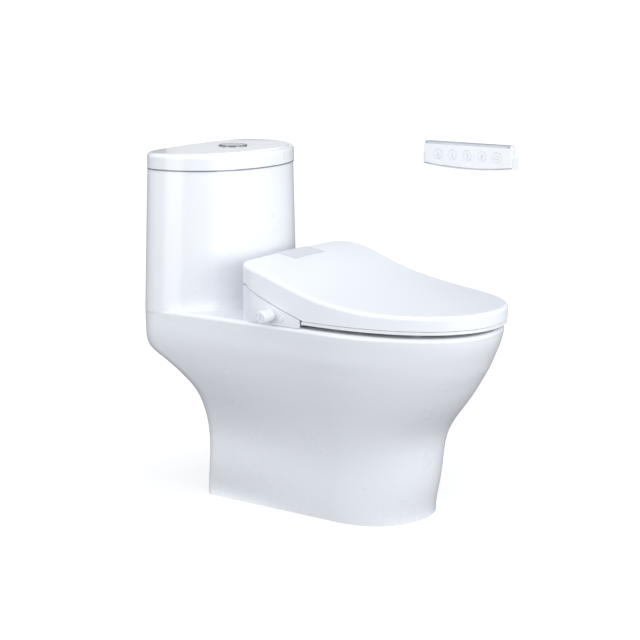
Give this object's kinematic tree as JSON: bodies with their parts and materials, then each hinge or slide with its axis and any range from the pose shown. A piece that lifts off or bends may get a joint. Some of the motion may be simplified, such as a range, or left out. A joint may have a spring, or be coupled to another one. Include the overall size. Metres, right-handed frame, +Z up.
{
  "type": "one-piece toilet with bidet seat",
  "caption": "Skirted one-piece toilet with a dual-flush tank, a heated washing seat with a hinged lid, and a wall remote.",
  "frame": {"origin": "centre of the waste outlet at floor level", "axes": "+Z up, -Y towards the front of the bowl, +X towards the wall that holds the remote"},
  "size_m": [0.624, 0.7283, 0.712],
  "materials": {
    "china": "glossy glaze",
    "pvc_grey": "moulded",
    "rubber_black": "moulded",
    "tank_plastic": "moulded",
    "float_plastic": "moulded",
    "plate_plastic": "moulded",
    "steel": "satin",
    "chrome": "polished",
    "cover_plastic": "smooth",
    "panel_plastic": "satin",
    "seat_plastic": "smooth gloss",
    "bumper_rubber": "moulded",
    "inner_plastic": "moulded",
    "nozzle_plastic": "smooth",
    "heater_steel": "satin",
    "board_green": "laminate",
    "brass": "machined",
    "remote_white": "smooth",
    "remote_silver": "satin",
    "battery_metal": "wrapped"
  },
  "bodies": {
    "toilet": {"toilet_body": "china", "rim_deck": "china", "toilet_tank": "china", "bowl_basin": "china", "trapway": "china", "outlet_adapter": "pvc_grey", "outlet_seal": "rubber_black", "flush_valve_body": "tank_plastic", "flush_valve_seal": "rubber_black", "fill_valve_body": "tank_plastic", "fill_valve_washer": "rubber_black", "shank_nut": "tank_plastic", "seat_base_plate": "plate_plastic", "base_bolts": "steel", "bolt_sleeves": "rubber_black", "remote_holder": "remote_white"},
    "float": {"fill_valve_float": "float_plastic"},
    "flush_lift": {"flush_valve_lift": "float_plastic"},
    "tank_cover": {"tank_lid": "china", "button_bezel": "chrome", "bezel_nut": "tank_plastic"},
    "full_button": {"button_full": "chrome"},
    "half_button": {"button_half": "chrome"},
    "unit": {"housing_cover": "cover_plastic", "housing_base": "plate_plastic", "top_panel": "panel_plastic", "hinge_shafts": "steel", "nozzle_guide": "inner_plastic", "knob_collar": "cover_plastic", "water_heater": "heater_steel", "circuit_board": "board_green", "valve_block": "inner_plastic", "dryer_fan": "inner_plastic", "inlet_fitting": "brass", "power_gland": "inner_plastic"},
    "nozzle": {"nozzle_wand": "nozzle_plastic"},
    "filter_knob": {"filter_knob": "cover_plastic"},
    "side_button": {"side_button": "cover_plastic"},
    "seat": {"seat_top": "seat_plastic", "seat_bottom": "seat_plastic", "heater_element": "steel", "seat_bumpers": "bumper_rubber"},
    "lid": {"lid_shell": "seat_plastic", "lid_bumpers": "bumper_rubber"},
    "handset": {"handset_front": "remote_white", "handset_back": "remote_white", "battery_door": "remote_white", "batteries": "battery_metal", "handset_board": "board_green"},
    "key_stop": {"key_stop": "remote_white"},
    "key_rear_wash": {"key_rear_wash": "remote_white"},
    "key_front_wash": {"key_front_wash": "remote_white"},
    "key_dry": {"key_dry": "remote_white"},
    "key_pressure": {"key_pressure": "remote_white"},
    "key_seat_heat": {"key_seat_heat": "remote_silver"},
    "key_water_heat": {"key_water_heat": "remote_silver"},
    "key_power": {"key_power": "remote_silver"}
  },
  "joints": [
    {"name": "tank_lid_lift", "type": "slide", "parent": "toilet", "child": "tank_cover", "axis": [0, 0, 1], "range_m": [0, 0.15]},
    {"name": "full_button_press", "type": "slide", "parent": "tank_cover", "child": "full_button", "axis": [0, 0, -1], "range_m": [0, 0.006], "stiffness_N_per_m": 300, "springref_m": -0.002},
    {"name": "half_button_press", "type": "slide", "parent": "tank_cover", "child": "half_button", "axis": [0, 0, -1], "range_m": [0, 0.006], "stiffness_N_per_m": 300, "springref_m": -0.002},
    {"name": "flush_valve_rise", "type": "slide", "parent": "toilet", "child": "flush_lift", "axis": [0, 0, 1], "range_m": [0, 0.018]},
    {"name": "float_rise", "type": "slide", "parent": "toilet", "child": "float", "axis": [0, 0, 1], "range_m": [0, 0.05]},
    {"name": "unit_release", "type": "slide", "parent": "toilet", "child": "unit", "axis": [0, -1, 0], "range_m": [0, 0.045]},
    {"name": "nozzle_extend", "type": "slide", "parent": "unit", "child": "nozzle", "axis": [0, -0.8192, -0.5736], "range_m": [0, 0.085]},
    {"name": "filter_knob_turn", "type": "hinge", "parent": "unit", "child": "filter_knob", "pos_m": [-0.2, -0.0445, 0.413], "axis": [-1, 0, 0], "range_deg": [0, 90]},
    {"name": "side_button_press", "type": "slide", "parent": "unit", "child": "side_button", "axis": [1, 0, 0], "range_m": [0, 0.0008], "stiffness_N_per_m": 400},
    {"name": "seat_hinge", "type": "hinge", "parent": "unit", "child": "seat", "pos_m": [0, 0.033, 0.478], "axis": [1, 0, 0], "range_deg": [-100, 0]},
    {"name": "lid_hinge", "type": "hinge", "parent": "seat", "child": "lid", "pos_m": [0, 0.033, 0.478], "axis": [-1, 0, 0], "range_deg": [0, 105]},
    {"name": "handset_lift", "type": "slide", "parent": "toilet", "child": "handset", "axis": [0, 0, 1], "range_m": [0, 0.06]},
    {"name": "key_stop_press", "type": "slide", "parent": "handset", "child": "key_stop", "axis": [1, 0, 0], "range_m": [0, 0.001], "stiffness_N_per_m": 400},
    {"name": "key_rear_wash_press", "type": "slide", "parent": "handset", "child": "key_rear_wash", "axis": [1, 0, 0], "range_m": [0, 0.001], "stiffness_N_per_m": 400},
    {"name": "key_front_wash_press", "type": "slide", "parent": "handset", "child": "key_front_wash", "axis": [1, 0, 0], "range_m": [0, 0.001], "stiffness_N_per_m": 400},
    {"name": "key_dry_press", "type": "slide", "parent": "handset", "child": "key_dry", "axis": [1, 0, 0], "range_m": [0, 0.001], "stiffness_N_per_m": 400},
    {"name": "key_pressure_press", "type": "slide", "parent": "handset", "child": "key_pressure", "axis": [1, 0, 0], "range_m": [0, 0.001], "stiffness_N_per_m": 400},
    {"name": "key_seat_heat_press", "type": "slide", "parent": "handset", "child": "key_seat_heat", "axis": [0, 0, -1], "range_m": [0, 0.001], "stiffness_N_per_m": 400},
    {"name": "key_water_heat_press", "type": "slide", "parent": "handset", "child": "key_water_heat", "axis": [0, 0, -1], "range_m": [0, 0.001], "stiffness_N_per_m": 400},
    {"name": "key_power_press", "type": "slide", "parent": "handset", "child": "key_power", "axis": [0, 0, -1], "range_m": [0, 0.001], "stiffness_N_per_m": 400}
  ],
  "couplings": [
    {"joint": "flush_valve_rise", "follows": "full_button_press", "ratio": 3}
  ]
}
